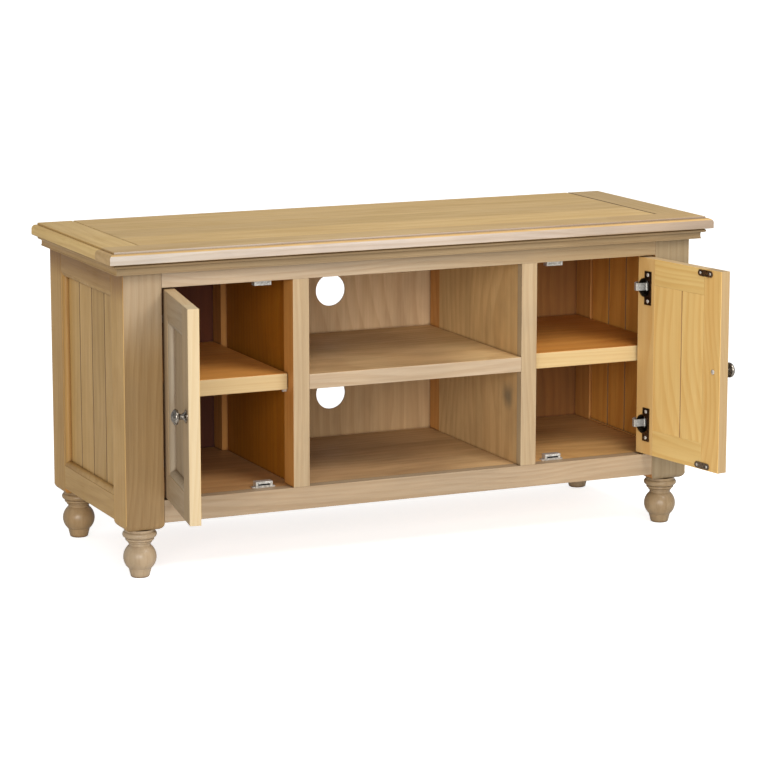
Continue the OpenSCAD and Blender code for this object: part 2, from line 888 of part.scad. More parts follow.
// Pins fixed in the arms' eyes; the doors' cups turn on their ends
module hinge_pins() {
  for (side = [-1, 1], z = hinge_heights) color(steel) in_case() on_side(side)
    translate([pin_x, pin_back, door_z + z]) cylinder(r = hinge_pin_r, h = 2 * hinge_pin_half, center = true);
}

module hinge_arm_screws() {
  for (side = [-1, 1]) color(steel) in_case() on_side(side)
    for (z = hinge_heights, i = [0, 1])
      translate([arm_screw_x[i], front_t + arm_plate_t, door_z + z + arm_screw_z[i]])
        screw(screw_r, screw_in, head_r, head_t);
}

// ---------- every piece, by name ----------

top_field();
top_front_rail();
top_end(-1);  // top_left_end
top_end(1);  // top_right_end
crown_front();
crown_side(-1);  // crown_left
crown_side(1);  // crown_right
front_post(-1);  // front_left_post
front_post(1);  // front_right_post
back_post(-1);  // back_left_post
back_post(1);  // back_right_post
front_top_rail();
front_bottom_rail();
mid_stile(-1);  // left_mid_stile
mid_stile(1);  // right_mid_stile
partition(-1);  // left_partition
partition(1);  // right_partition
partition_back_stiles();
side_rails(-1);  // left_side_rails
side_rails(1);  // right_side_rails
side_planks(-1);  // left_side_planks
side_planks(1);  // right_side_planks
side_moulding(-1);  // left_side_moulding
side_moulding(1);  // right_side_moulding
bottom_deck();
middle_shelf();
side_shelf(-1);  // left_shelf
side_shelf(1);  // right_shelf
shelf_pins();
back_panel();
back_rails();
foot(-1, front_foot_y);  // front_left_foot
foot(1, front_foot_y);  // front_right_foot
foot(-1, back_foot_y);  // back_left_foot
foot(1, back_foot_y);  // back_right_foot
foot_bolts();
catch_housings();
catch_magnets();
hinge_arms(-1);  // left_hinge_arms
hinge_arms(1);  // right_hinge_arms
hinge_pins();
hinge_arm_screws();
door_hinge_stile(-1);  // left_door_hinge_stile
door_free_stile(-1);  // left_door_free_stile
door_rails(-1);  // left_door_rails
door_planks(-1);  // left_door_planks
door_moulding(-1);  // left_door_moulding
door_knob(-1);  // left_door_knob
door_hinge_cups(-1);  // left_door_hinge_cups
door_strikes(-1);  // left_door_strikes
door_screws(-1);  // left_door_screws
door_hinge_stile(1);  // right_door_hinge_stile
door_free_stile(1);  // right_door_free_stile
door_rails(1);  // right_door_rails
door_planks(1);  // right_door_planks
door_moulding(1);  // right_door_moulding
door_knob(1);  // right_door_knob
door_hinge_cups(1);  // right_door_hinge_cups
door_strikes(1);  // right_door_strikes
door_screws(1);  // right_door_screws
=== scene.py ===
# %% [markdown]
# # A media cabinet with two doors
# This lesson dresses a finished CAD frame of a low wooden cabinet. Every board already has its
# true size and place, so the work here is finish: eased arrises, stained and natural wood,
# and small metal fittings. All lengths are in metres. X runs across the front,
# Y from front to back, and Z up from the floor.

# %% Load the frame
import json
import math

import bmesh
import bpy
from mathutils import Matrix, Vector

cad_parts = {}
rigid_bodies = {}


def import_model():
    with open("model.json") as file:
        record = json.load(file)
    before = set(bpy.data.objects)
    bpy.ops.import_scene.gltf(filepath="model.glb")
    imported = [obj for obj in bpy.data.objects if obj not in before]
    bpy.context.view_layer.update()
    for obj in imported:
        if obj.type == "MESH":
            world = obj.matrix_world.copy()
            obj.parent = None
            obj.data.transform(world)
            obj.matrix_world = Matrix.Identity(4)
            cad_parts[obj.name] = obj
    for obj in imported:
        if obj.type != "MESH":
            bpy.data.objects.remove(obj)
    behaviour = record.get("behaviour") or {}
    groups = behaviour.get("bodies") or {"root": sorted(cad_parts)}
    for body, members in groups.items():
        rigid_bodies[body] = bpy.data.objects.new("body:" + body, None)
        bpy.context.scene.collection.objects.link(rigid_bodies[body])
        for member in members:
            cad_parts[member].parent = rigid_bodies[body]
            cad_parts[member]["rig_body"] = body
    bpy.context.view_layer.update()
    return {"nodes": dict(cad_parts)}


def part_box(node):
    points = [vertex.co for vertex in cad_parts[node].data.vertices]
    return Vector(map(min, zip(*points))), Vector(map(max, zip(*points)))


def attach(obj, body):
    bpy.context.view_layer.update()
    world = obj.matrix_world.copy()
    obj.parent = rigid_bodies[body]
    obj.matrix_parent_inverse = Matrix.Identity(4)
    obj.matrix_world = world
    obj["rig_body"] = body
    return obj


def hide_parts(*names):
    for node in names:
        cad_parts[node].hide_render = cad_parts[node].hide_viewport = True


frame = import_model()
nodes = frame["nodes"]
print("CAD nodes:", len(nodes))

# %% [markdown]
# The camera stands a little to the left of the middle and looks slightly down, through a
# long lens, so the cabinet's upright lines stay nearly parallel. It is made first, because
# every later choice is judged through it.

# %% Camera
CAMERA_AT = Vector((-2.3658, -5.2109, 1.3773))
CAMERA_AIM = Vector((0.0175, 0.0950, 0.2865))
LENS_MM = 144.4


def place_camera():
    data = bpy.data.cameras.new("camera")
    data.lens = LENS_MM
    data.sensor_width = 36
    camera = bpy.data.objects.new("camera", data)
    bpy.context.scene.collection.objects.link(camera)
    camera.location = CAMERA_AT
    camera.rotation_euler = (CAMERA_AIM - CAMERA_AT).to_track_quat("-Z", "Y").to_euler()
    bpy.context.scene.camera = camera
    return camera


camera = place_camera()
print("camera distance:", round((CAMERA_AIM - CAMERA_AT).length, 3))

# %% [markdown]
# Two short helpers keep the shader code readable. `place` adds a node, sets its options and fills or
# links its inputs. `rgb` turns a given colour into the linear values that a renderer works with.

# %% Shader helpers


def place(tree, kind, inputs=None, **options):
    made = tree.nodes.new("ShaderNode" + kind)
    for name, value in options.items():
        setattr(made, name, value)
    for key, value in (inputs or {}).items():
        if isinstance(value, bpy.types.NodeSocket):
            tree.links.new(value, made.inputs[key])
        else:
            made.inputs[key].default_value = value
    return made


def math_of(tree, operation, *values, clamp=False):
    made = place(tree, "Math", dict(enumerate(values)), operation=operation, use_clamp=clamp)
    return made.outputs[0]


def vector_of(tree, operation, *values):
    return place(tree, "VectorMath", dict(enumerate(values)), operation=operation).outputs[0]


def ramp_of(tree, value, low, high, to_low=0.0, to_high=1.0):
    made = place(tree, "MapRange", {0: value, 1: low, 2: high, 3: to_low, 4: to_high})
    made.interpolation_type = "SMOOTHSTEP"
    return made.outputs[0]


def mix_of(tree, share, first, second, blend="MIX"):
    made = place(tree, "Mix", {0: share, 6: first, 7: second}, data_type="RGBA", blend_type=blend)
    return made.outputs[2]


def rgb(red, green, blue):
    def linear(value):
        value /= 255
        return value / 12.92 if value <= 0.04045 else ((value + 0.055) / 1.055) ** 2.4

    return (linear(red), linear(green), linear(blue), 1.0)


def group_of(name, inputs, outputs):
    tree = bpy.data.node_groups.new(name, "ShaderNodeTree")
    for label, kind, value in inputs:
        socket = tree.interface.new_socket(label, in_out="INPUT", socket_type="NodeSocket" + kind)
        socket.default_value = value
    for label, kind in outputs:
        tree.interface.new_socket(label, in_out="OUTPUT", socket_type="NodeSocket" + kind)
    return tree, tree.nodes.new("NodeGroupInput").outputs, tree.nodes.new("NodeGroupOutput").inputs


print("helpers ready")

# %% [markdown]
# A board is a slice through a log. If the shader works in the log's own space, with X along
# the grain and the pith on the X axis, one formula gives straight lines on a quarter-sawn
# face, arches on a flat-sawn face and rings on the end grain. The log tapers and wanders a
# little, which is what draws the long arches. Fibres, pores and uneven stain come from
# noises stretched along the grain. All of it is one group, shared by every wooden finish.

# %% Wood figure group


def make_wood_figure():
    tree, given, result = group_of(
        "wood figure",
        [("Position", "Vector", (0, 0, 0)), ("Ring Spacing", "Float", 0.006), ("Wander", "Float", 0.02)],
        [(label, "Float") for label in ("Rings", "Streaks", "Fibres", "Pores", "Clouds")],
    )
    position = given["Position"]

    def stretched(scale, detail=2.0, roughness=0.5):
        squeezed = vector_of(tree, "MULTIPLY", position, scale)
        made = place(tree, "TexNoise", {"Vector": squeezed, "Scale": 1.0, "Detail": detail})
        made.inputs["Roughness"].default_value = roughness
        return made

    bend = vector_of(tree, "SUBTRACT", stretched((2.2, 4.0, 4.0), 1.0).outputs["Color"], (0.5, 0.5, 0.5))
    wander = place(tree, "VectorMath", {0: bend, "Scale": given["Wander"]}, operation="SCALE").outputs[0]
    bent = vector_of(tree, "ADD", position, wander)
    parts = place(tree, "SeparateXYZ", {0: bent}).outputs
    across = place(tree, "CombineXYZ", {1: parts[1], 2: parts[2]}).outputs[0]
    radius = place(tree, "VectorMath", {0: across}, operation="LENGTH").outputs["Value"]
    tapered = math_of(tree, "MULTIPLY_ADD", parts[0], 0.018, radius)
    pace = place(tree, "TexNoise", {"W": tapered, "Scale": 38.0, "Detail": 1.0}, noise_dimensions="1D")
    uneven = math_of(tree, "MULTIPLY_ADD", pace.outputs["Fac"], 0.012, tapered)
    turn = math_of(tree, "FRACT", math_of(tree, "DIVIDE", uneven, given["Ring Spacing"]))
    late = ramp_of(tree, turn, 0.25, 0.86)
    end = ramp_of(tree, turn, 0.90, 1.0, 1.0, 0.0)
    tree.links.new(math_of(tree, "MULTIPLY", late, end), result["Rings"])
    streaks = stretched((2.6, 85.0, 85.0), 3.0).outputs["Fac"]
    tree.links.new(ramp_of(tree, streaks, 0.34, 0.68), result["Streaks"])
    fibres = stretched((9.0, 300.0, 300.0), 3.0).outputs["Fac"]
    tree.links.new(ramp_of(tree, fibres, 0.3, 0.7), result["Fibres"])
    pores = stretched((22.0, 1250.0, 1250.0), 1.0).outputs["Fac"]
    tree.links.new(ramp_of(tree, pores, 0.60, 0.72), result["Pores"])
    clouds = stretched((4.5, 11.0, 11.0), 4.0, 0.6).outputs["Fac"]
    tree.links.new(ramp_of(tree, clouds, 0.36, 0.68), result["Clouds"])
    return tree


wood_figure = make_wood_figure()
print("group:", wood_figure.name)

# %% [markdown]
# Boards that are glued side by side come from different logs. This second group finds which
# board a point is on, and gives that board its own shift inside the log and its own tone.

# %% Board lottery group


def make_board_lottery():
    tree, given, result = group_of(
        "board lottery",
        [("Across", "Float", 0.0), ("Start", "Float", 0.0), ("Board Width", "Float", 0.07)],
        [("Shift", "Vector"), ("Tone", "Float")],
    )
    offset = math_of(tree, "SUBTRACT", given["Across"], given["Start"])
    index = math_of(tree, "FLOOR", math_of(tree, "DIVIDE", offset, given["Board Width"]))
    drawn = place(tree, "TexWhiteNoise", {"W": index}, noise_dimensions="1D")
    shift = vector_of(tree, "MULTIPLY", drawn.outputs["Color"], (3.0, 0.16, 0.16))
    tree.links.new(shift, result["Shift"])
    tree.links.new(drawn.outputs["Value"], result["Tone"])
    return tree


board_lottery = make_board_lottery()
print("group:", board_lottery.name)

# %% [markdown]
# Handling leaves marks: a grey smudge where hands reach in, a small dark knot. This group
# gives one soft-edged spot with an uneven outline.

# %% Spot group


def make_spot():
    tree, given, result = group_of(
        "spot",
        [("Position", "Vector", (0, 0, 0)), ("Centre", "Vector", (0, 0, 0)), ("Radius", "Float", 0.02)],
        [("Mark", "Float")],
    )
    away = vector_of(tree, "SUBTRACT", given["Position"], given["Centre"])
    far = place(tree, "VectorMath", {0: away}, operation="LENGTH").outputs["Value"]
    rough = place(tree, "TexNoise", {"Vector": given["Position"], "Scale": 45.0, "Detail": 3.0})
    uneven = math_of(tree, "MULTIPLY", far, math_of(tree, "ADD", rough.outputs["Fac"], 0.6))
    share = math_of(tree, "DIVIDE", uneven, given["Radius"])
    tree.links.new(ramp_of(tree, share, 0.15, 1.0, 1.0, 0.0), result["Mark"])
    return tree


spot = make_spot()
print("group:", spot.name)

# %% [markdown]
# Where boards meet and in the hollows of a moulding the finishes are darkened, as painted shade in the
# crevices. This group measures how much of the near surroundings is open, and gives a mask that is 1 in
# a crevice.

# %% Crevice group


def make_crevice():
    tree, given, result = group_of("crevice", [("Reach", "Float", 0.007)], [("Mark", "Float")])
    sky = place(tree, "AmbientOcclusion", {"Distance": given["Reach"]}, samples=6)
    tree.links.new(ramp_of(tree, sky.outputs["AO"], 0.30, 0.88, 1.0, 0.0), result["Mark"])
    return tree


crevice = make_crevice()
print("group:", crevice.name)

# %% [markdown]
# A tone can also change slowly along a board. This group turns a place along one axis into a
# share that grows from 0 to 1 between a start and an end.

# %% Fade group


def make_fade():
    tree, given, result = group_of(
        "fade",
        [("Along", "Float", 0.0), ("Start", "Float", 0.0), ("End", "Float", 1.0)],
        [("Share", "Float")],
    )
    tree.links.new(ramp_of(tree, given["Along"], given["Start"], given["End"]), result["Share"])
    return tree


fade = make_fade()
print("group:", fade.name)

# %% [markdown]
# Each finish is a base colour and the tints that the growth rings, the streaks, the clouds of stain and
# the pores multiply it by, each with its own strength. The case is stained a washed brown on its front
# and a more golden brown on its sides and top, and the split by facing also paints the cooler light on
# the front faces and the warmer shade on the sides. In the middle bay the stain is even. The side bays,
# the doors' inner faces and the shelf edges are lacquered pine; the deep orange of the side bays is also
# painted shade and bounced colour, against paler edges that face the light.

# %% Finishes
FINISHES = {
    "washed": dict(
        base=rgb(158, 138, 112), late=(0.86, 0.81, 0.75, 1), streak=(0.86, 0.83, 0.78, 1),
        cloud=(0.86, 0.88, 0.92, 1), ring=0.55, streaks=0.60, clouds=0.70, fibres=0.45, pores=0.12,
        spacing=0.013, wander=0.07, rough=0.46),
    "golden": dict(
        base=rgb(196, 166, 112), late=(0.88, 0.83, 0.75, 1), streak=(0.86, 0.82, 0.74, 1),
        cloud=(0.88, 0.88, 0.88, 1), ring=0.55, streaks=0.65, clouds=0.70, fibres=0.45, pores=0.12,
        spacing=0.013, wander=0.07, rough=0.42),
    "inner": dict(
        base=rgb(186, 154, 122), late=(0.82, 0.76, 0.70, 1), streak=(0.84, 0.80, 0.76, 1),
        cloud=(0.80, 0.80, 0.80, 1), ring=0.55, streaks=0.55, clouds=0.90, fibres=0.40, pores=0.10,
        spacing=0.016, wander=0.10, rough=0.50),
    "bay": dict(
        base=rgb(190, 136, 72), late=(0.84, 0.74, 0.62, 1), streak=(0.86, 0.78, 0.68, 1),
        cloud=(0.86, 0.82, 0.78, 1), ring=0.60, streaks=0.50, clouds=0.50, fibres=0.40, pores=0.08,
        spacing=0.014, wander=0.07, rough=0.46),
    "pine": dict(
        base=rgb(206, 172, 112), late=(0.90, 0.80, 0.66, 1), streak=(0.93, 0.87, 0.78, 1),
        cloud=(1.04, 1.03, 1.02, 1), ring=0.62, streaks=0.55, clouds=0.60, fibres=0.35, pores=0.05,
        spacing=0.009, wander=0.08, rough=0.38),
    "edge": dict(
        base=rgb(196, 172, 134), late=(0.92, 0.86, 0.78, 1), streak=(0.93, 0.88, 0.82, 1),
        cloud=(0.94, 0.93, 0.92, 1), ring=0.50, streaks=0.50, clouds=0.40, fibres=0.35, pores=0.05,
        spacing=0.006, wander=0.05, rough=0.44),
    "seam": dict(
        base=rgb(112, 88, 60), late=(0.9, 0.9, 0.9, 1), streak=(0.8, 0.8, 0.8, 1),
        cloud=(0.8, 0.8, 0.8, 1), ring=0.2, streaks=0.5, clouds=0.5, fibres=0.3, pores=0.1,
        spacing=0.013, wander=0.07, rough=0.60),
}
FINISHES["turned"] = dict(FINISHES["washed"], ring=0.35, rough=0.27)
PORE_TINT = (0.35, 0.28, 0.22, 1.0)
# Colour of the painted shade in crevices, and how far the crevice mask reaches
CREVICE_SHADE_TINT = (0.42, 0.33, 0.24, 1.0)
CREVICE_REACH = 0.007
GRAIN = {"x": (0, 1, 2), "y": (1, 2, 0), "z": (2, 0, 1)}


def log_position(tree, here, along, place_in_log, boards):
    """The point's position in its log, and the tone of its board."""
    parts = place(tree, "SeparateXYZ", {0: here}).outputs
    order = GRAIN[along]
    inside = place(tree, "CombineXYZ", {i: parts[order[i]] for i in range(3)}).outputs[0]
    inside = vector_of(tree, "ADD", inside, place_in_log)
    if not boards:
        return inside, None
    axis, start, width = boards
    lottery = place(tree, "Group", node_tree=board_lottery)
    tree.links.new(parts["xyz".index(axis)], lottery.inputs["Across"])
    lottery.inputs["Start"].default_value = start
    lottery.inputs["Board Width"].default_value = width
    return vector_of(tree, "ADD", inside, lottery.outputs["Shift"]), lottery.outputs["Tone"]


def finish_colour(tree, look, figure):
    colour = place(tree, "RGB").outputs[0]
    colour.default_value = look["base"]
    layers = (
        ("Rings", "ring", "late"), ("Streaks", "streaks", "streak"),
        ("Clouds", "clouds", "cloud"), ("Fibres", "fibres", "streak"),
    )
    for effect, strength, tint in layers:
        share = math_of(tree, "MULTIPLY", figure[effect], look[strength])
        colour = mix_of(tree, share, colour, look[tint], "MULTIPLY")
    share = math_of(tree, "MULTIPLY", figure["Pores"], look["pores"])
    return mix_of(tree, share, colour, PORE_TINT, "MULTIPLY")


def wood(name, finish, along, seed, turned=0.0, boards=None, tint=None, fades=(), spots=()):
    """A wooden finish. Each fade is (axis, from, to, tint): the tint grows along that axis."""
    look = FINISHES[finish]
    material = bpy.data.materials.new(name)
    material.use_nodes = True
    tree = material.node_tree
    shader = tree.nodes["Principled BSDF"]
    in_log = (seed * 1.37, 0.055 + (seed * 0.0831) % 0.11, 0.03 + (seed * 0.0577) % 0.09)
    here = place(tree, "TexCoord").outputs["Object"]
    turned_here = place(tree, "Mapping", {"Vector": here, "Rotation": (0, 0, turned)}).outputs[0]
    inside, tone = log_position(tree, turned_here, along, in_log, boards)
    figure = place(tree, "Group", node_tree=wood_figure)
    tree.links.new(inside, figure.inputs["Position"])
    figure.inputs["Ring Spacing"].default_value = look["spacing"]
    figure.inputs["Wander"].default_value = look["wander"]
    colour = finish_colour(tree, look, figure.outputs)
    parts = place(tree, "SeparateXYZ", {0: here}).outputs
    if tone is not None:
        gain = ramp_of(tree, tone, 0.0, 1.0, 0.92, 1.05)
        grey = place(tree, "CombineColor", {0: gain, 1: gain, 2: gain}).outputs[0]
        colour = mix_of(tree, 1.0, colour, grey, "MULTIPLY")
    # Most fades are painted light and shade along a board
    for axis, start, end, deep in fades:
        share = place(tree, "Group", node_tree=fade)
        tree.links.new(parts["xyz".index(axis)], share.inputs["Along"])
        share.inputs["Start"].default_value = start
        share.inputs["End"].default_value = end
        colour = mix_of(tree, share.outputs["Share"], colour, (*deep, 1.0), "MULTIPLY")
    for centre, radius, deep in spots:
        where = {"Position": here, "Centre": centre, "Radius": radius}
        mark = place(tree, "Group", where, node_tree=spot)
        colour = mix_of(tree, mark.outputs[0], colour, (*deep, 1.0), "MULTIPLY")
    if tint:
        colour = mix_of(tree, 1.0, colour, (*tint, 1.0), "MULTIPLY")
    # Painted shade in crevices and joints
    crevice_shade = place(tree, "Group", node_tree=crevice)
    crevice_shade.inputs["Reach"].default_value = CREVICE_REACH
    colour = mix_of(tree, crevice_shade.outputs["Mark"], colour, CREVICE_SHADE_TINT, "MULTIPLY")
    tree.links.new(colour, shader.inputs["Base Color"])
    rough = math_of(tree, "MULTIPLY_ADD", figure.outputs["Clouds"], 0.10, look["rough"])
    rough = math_of(tree, "MULTIPLY_ADD", figure.outputs["Pores"], 0.12, rough)
    tree.links.new(rough, shader.inputs["Roughness"])
    relief = math_of(tree, "SUBTRACT", figure.outputs["Fibres"], figure.outputs["Pores"])
    bump = place(tree, "Bump", {"Height": relief, "Strength": 0.25, "Distance": 0.0003})
    tree.links.new(bump.outputs[0], shader.inputs["Normal"])
    shader.inputs["Specular IOR Level"].default_value = 0.35
    return material


print("finishes:", ", ".join(FINISHES))

# %% [markdown]
# A planed board never has a knife-sharp arris: a stroke of sandpaper eases it, and the eased
# edge catches the light and draws the joints. Each plain board is therefore copied from its
# CAD node, its flat faces joined up, and its sharp outer edges given a small round. The
# copy stands for the node.

# %% Eased boards


def is_arris(edge, sharp):
    return len(edge.link_faces) == 2 and edge.is_convex and edge.calc_face_angle() > sharp


def eased_board(node, radius, least=0.012, segments=2):
    mesh = bpy.data.meshes.new(node + "_board")
    work = bmesh.new()
    work.from_mesh(nodes[node].data)
    bmesh.ops.remove_doubles(work, verts=work.verts, dist=0.00002)
    bmesh.ops.dissolve_limit(work, angle_limit=math.radians(0.8), verts=work.verts, edges=work.edges)
    arrises = [e for e in work.edges if is_arris(e, math.radians(40)) and e.calc_length() > least]
    bmesh.ops.bevel(work, geom=arrises, offset=radius, segments=segments, profile=0.5, affect="EDGES")
    for face in work.faces:
        face.smooth = False
    work.to_mesh(mesh)
    work.free()
    board = bpy.data.objects.new(node + "_board", mesh)
    bpy.context.scene.collection.objects.link(board)
    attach(board, nodes[node]["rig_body"])
    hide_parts(node)
    return board


print("ready to ease edges")

# %% [markdown]
# One board often carries two finishes: a post is washed brown on its face, golden on its
# outer side and pine inside. So each face takes its finish from the way it looks: to the
# front, the back, outward, inward, level, slanted where a groove is cut, or round the rim of
# a side recess.

# %% Which finish each face takes


def dress(piece, *materials):
    piece.data.materials.clear()
    for material in materials:
        piece.data.materials.append(material)


SIDE_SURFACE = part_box("right_side_planks")[1].x


def facing(face, sign, looks):
    normal = face.normal
    if "rim" in looks and abs(normal.y) > 0.7 and face.center.x * sign > SIDE_SURFACE - 0.001:
        return "rim"
    if "slanted" in looks and max(abs(part) for part in normal) < 0.9:
        if normal.z < 0.3 or normal.x * sign < 0.3 and abs(normal.x) > 0.3:
            return "slanted"
    if abs(normal.z) > 0.7:
        return "level"
    if abs(normal.x) > 0.7:
        return "outer" if normal.x * sign > 0 else "inner"
    return "front" if normal.y < 0 else "back"


def paint(piece, node, along, seed, looks, **extra):
    low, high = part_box(node)
    sign = 1 if low.x + high.x > 0 else -1
    names = sorted(set(looks.values()))
    tints = TINTS.get(node, {})
    made = []
    for name in names:
        # Fades of painted light and shade, and smudges, for this board and finish
        marks = PAINTED_LIGHT_AND_SMUDGE.get((node, name), {})
        made.append(wood(f"{node}_{name}", name, along, seed, tint=tints.get(name), **extra, **marks))
    dress(piece, *made)
    for face in piece.data.polygons:
        face.material_index = names.index(looks[facing(face, sign, looks)])


def looks_of(front, back, outer, inner, level, **more):
    return dict(front=front, back=back, outer=outer, inner=inner, level=level, **more)


# Washed fronts and golden sides partly paint the cooler light on the front and the warmer shade on the
# sides; bay faces partly paint the shade inside the bays
FRONT_POST = looks_of("washed", "bay", "golden", "bay", "washed", rim="golden")
BACK_POST = looks_of("bay", "golden", "golden", "bay", "golden", rim="golden")
MID_STILE = looks_of("washed", "inner", "bay", "washed", "washed")
SIDE_FRAME = looks_of("golden", "golden", "golden", "bay", "golden")
FRONT_RAIL = looks_of("washed", "bay", "washed", "washed", "washed")
SHELF = looks_of("washed", "inner", "inner", "inner", "inner")
SIDE_SHELF = looks_of("edge", "edge", "edge", "edge", "bay")
BACK_STILE = looks_of("bay", "bay", "bay", "inner", "bay")
BACK_RAIL = looks_of("inner", "golden", "inner", "inner", "inner")

# Each board's own tone. Part of it is the difference between logs and coats of stain, and part is
# painted light and shade that two lamps don't give: painted shade and bounced colour in the bays, boards
# made lighter where the lamps leave them too dark and darker where they leave them too light, as on the
# feet, the right post, the doors and their free edges, and a painted sky reflection on the left door's
# moulding. So it was tuned with the doors open.
TINTS = {
    "left_partition": {"bay": (0.68, 0.54, 0.14)},
    "right_partition": {"inner": (1.38, 1.40, 1.05)},
    "left_shelf": {"bay": (1.36, 1.34, 1.25), "edge": (0.88, 0.87, 0.78)},
    "right_shelf": {"bay": (1.24, 1.18, 1.00), "edge": (0.92, 0.92, 0.80)},
    "middle_shelf": {"washed": (1.22, 1.24, 1.30), "inner": (1.10, 1.10, 0.90)},
    "bottom_deck": {"inner": (0.97, 0.93, 0.77)},
    "back_panel": {"inner": (1.27, 1.36, 1.32)},
    "left_side_planks": {"bay": (0.80, 0.70, 0.60), "golden": (0.94, 0.86, 0.73)},
    "right_side_planks": {"bay": (1.16, 1.12, 0.84)},
    "front_left_post": {"golden": (0.98, 0.89, 0.76), "washed": (1.12, 1.12, 1.10)},
    "back_left_post": {"golden": (0.88, 0.77, 0.60)},
    "left_side_rails": {"golden": (0.90, 0.82, 0.70)},
    "left_side_moulding": {"golden": (0.88, 0.80, 0.68)},
    "crown_left": {"golden": (0.85, 0.78, 0.68)},
    "crown_front": {"washed": (0.86, 0.82, 0.68)},
    "front_top_rail": {"washed": (1.24, 1.28, 1.38)},
    "front_bottom_rail": {"washed": (1.06, 1.05, 1.05)},
    "front_right_post": {"washed": (0.84, 0.84, 0.75)},
    "left_mid_stile": {"washed": (1.16, 1.14, 1.05)},
    "right_mid_stile": {"washed": (1.19, 1.19, 1.12)},
    "top_field": {"golden": (1.20, 1.19, 1.14)},
    "top_front_rail": {"golden": (1.07, 1.07, 1.12), "washed": (1.30, 1.46, 1.92)},
    "top_left_end": {"golden": (1.28, 1.28, 1.16)},
    "front_left_foot": {"turned": (1.26, 1.28, 1.30)},
    "front_right_foot": {"turned": (0.90, 0.86, 0.76)},
    "back_left_foot": {"turned": (1.08, 0.98, 0.80)},
    "left_door_free_stile": {"washed": (1.26, 1.22, 1.08), "edge": (1.03, 1.10, 1.18)},
    "left_door_hinge_stile": {"washed": (1.26, 1.26, 1.22)},
    "left_door_rails": {"washed": (1.18, 1.19, 1.18)},
    "right_door_free_stile": {"edge": (0.72, 0.68, 0.60), "pine": (1.06, 1.06, 1.02)},
    "right_door_hinge_stile": {"pine": (0.95, 0.94, 0.97)},
    "right_door_rails": {"pine": (1.08, 1.15, 1.16)},
    "right_door_planks": {"pine": (1.14, 1.19, 1.20), "seam": (1.9, 1.7, 1.3)},
    "left_door_planks": {"washed": (1.10, 1.12, 1.12), "seam": (1.9, 1.7, 1.3)},
    "left_door_moulding": {"washed": (1.16, 1.24, 1.34)},
}

# node: (arris radius, slot, finishes, grain, seed)
CASE_BOARDS = {
    "front_left_post": (0.0012, "case_stain", FRONT_POST, "z", 1),
    "front_right_post": (0.0012, "case_stain", FRONT_POST, "z", 2),
    "back_left_post": (0.0012, "case_stain", BACK_POST, "z", 3),
    "back_right_post": (0.0012, "case_stain", BACK_POST, "z", 4),
    "front_top_rail": (0.0005, "case_stain", FRONT_RAIL, "x", 5),
    "front_bottom_rail": (0.0007, "case_stain", FRONT_RAIL, "x", 6),
    "left_mid_stile": (0.0007, "case_stain", MID_STILE, "z", 7),
    "right_mid_stile": (0.0007, "case_stain", MID_STILE, "z", 8),
    "left_side_rails": (0.0006, "case_stain", SIDE_FRAME, "y", 9),
    "right_side_rails": (0.0006, "case_stain", SIDE_FRAME, "y", 10),
    "middle_shelf": (0.0010, "case_stain", SHELF, "x", 11),
    "left_shelf": (0.0012, "natural_pine", SIDE_SHELF, "x", 12),
    "right_shelf": (0.0012, "natural_pine", SIDE_SHELF, "x", 13),
    "back_rails": (0.0008, "inner_stain", BACK_RAIL, "x", 14),
    "partition_back_stiles": (0.0008, "inner_stain", BACK_STILE, "z", 15),
}
# Tone that changes along a board. Only the smudge is a mark on the wood. Most of the fades are painted
# light and shade that the lamps don't give, the deep ones in the side bays above all: painted shadow
# under the top's overhang and from the open left door, painted shade low in the middle bay and in the
# side bays, and painted light to the right of the middle bay.
# Painted shadow of the top's overhang on the upper part of the left side
PAINTED_SHADOW_UNDER_TOP = [("z", 0.500, 0.550, (0.56, 0.46, 0.30))]
